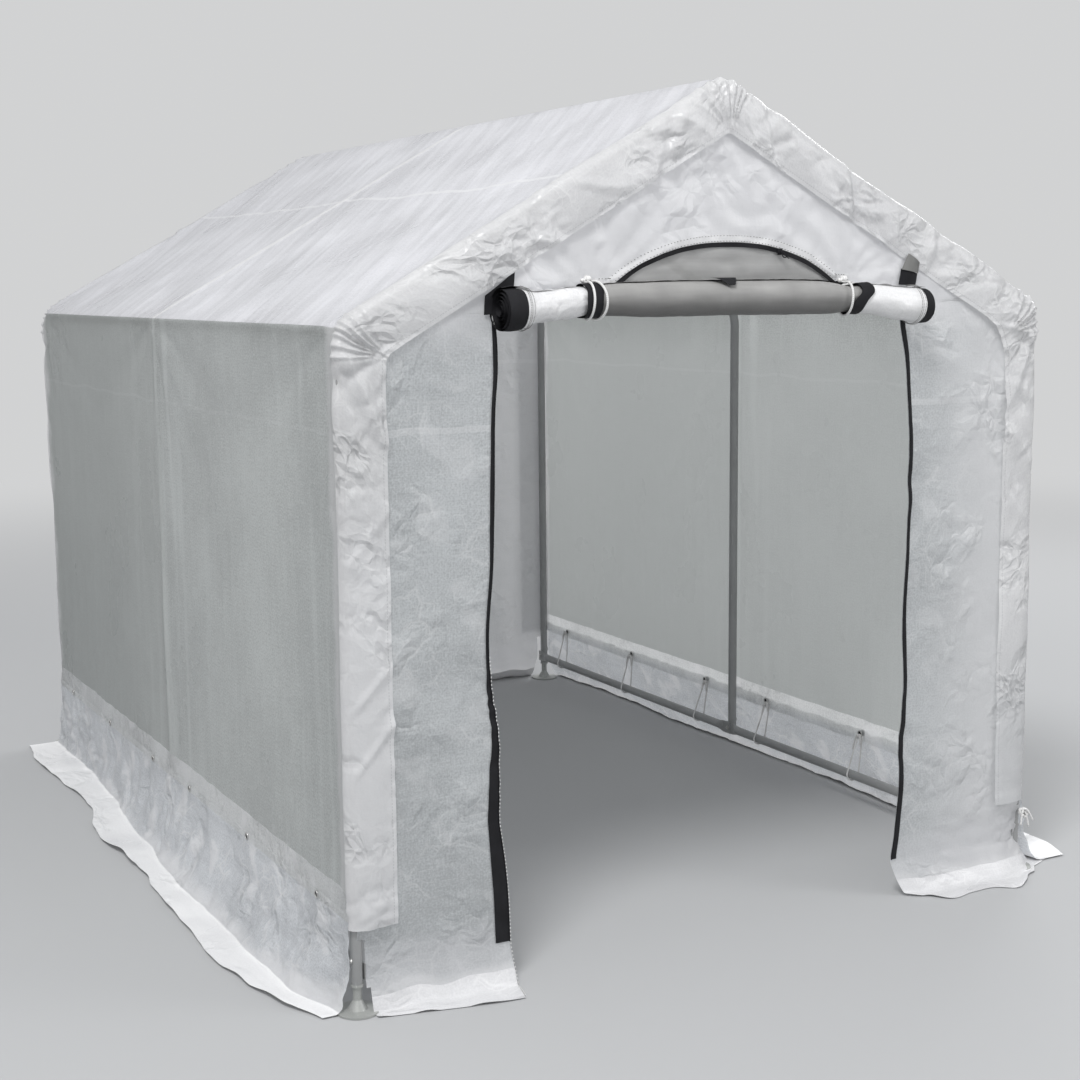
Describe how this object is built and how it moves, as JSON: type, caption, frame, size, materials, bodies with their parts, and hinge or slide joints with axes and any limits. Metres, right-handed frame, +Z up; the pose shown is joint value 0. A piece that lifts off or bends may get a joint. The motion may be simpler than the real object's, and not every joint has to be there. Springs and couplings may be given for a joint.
{
  "type": "peak-roofed polytunnel greenhouse",
  "caption": "Small walk-in grow tunnel: bolted steel tube ribs and rails under a fitted translucent woven film cover with a rolled-up zip door, half-moon vent and ground skirts.",
  "frame": {"origin": "on the ground under the middle of the house, which is the bottom centre of its box", "axes": "+X to the right as seen from the front, +Y along the ridge towards the back, +Z up; the doorway faces -Y"},
  "size_m": [2.1518, 2.6608, 1.9184],
  "materials": {
    "tube_grey": "grey powder-coated steel tube, semi-matt",
    "foot_zinc": "dull zinc-plated cast foot",
    "wall_film": "translucent woven polyethylene film, faint square weave",
    "panel_film": "translucent woven polyethylene film with pressed creases",
    "roof_film": "whiter woven polyethylene film under tension",
    "skirt_film": "loose woven polyethylene film that lies on the ground",
    "screen_grey": "fine grey insect mesh",
    "zip_black": "black zip tape and webbing",
    "cord_white": "white braided cord"
  },
  "bodies": {
    "root": {"back_lip_left": "roof_film", "back_lip_right": "roof_film", "back_panel": "panel_film", "back_skirt": "skirt_film", "door_roll": "roof_film", "door_zip_left": "zip_black", "door_zip_right": "zip_black", "feet": "foot_zinc", "front_gable_panel": "panel_film", "front_left_panel": "panel_film", "front_left_skirt": "skirt_film", "front_lip_left": "roof_film", "front_lip_right": "roof_film", "front_right_panel": "panel_film", "front_right_skirt": "skirt_film", "left_base_rail": "tube_grey", "left_eave_bends": "tube_grey", "left_eave_rail": "tube_grey", "left_eave_strip": "roof_film", "left_rail_ties": "cord_white", "left_skirt": "skirt_film", "left_wall": "wall_film", "leg_back_left": "tube_grey", "leg_back_right": "tube_grey", "leg_front_left": "tube_grey", "leg_front_right": "tube_grey", "leg_middle_left": "tube_grey", "leg_middle_right": "tube_grey", "peak_bends": "tube_grey", "ridge_rail": "tube_grey", "right_base_rail": "tube_grey", "right_eave_bends": "tube_grey", "right_eave_rail": "tube_grey", "right_eave_strip": "roof_film", "right_rail_ties": "cord_white", "right_skirt": "skirt_film", "right_wall": "wall_film", "roll_straps": "zip_black", "roll_ties": "cord_white", "roof_strip": "roof_film", "vent_screen": "screen_grey", "vent_zip": "zip_black"}
  },
  "joints": []
}
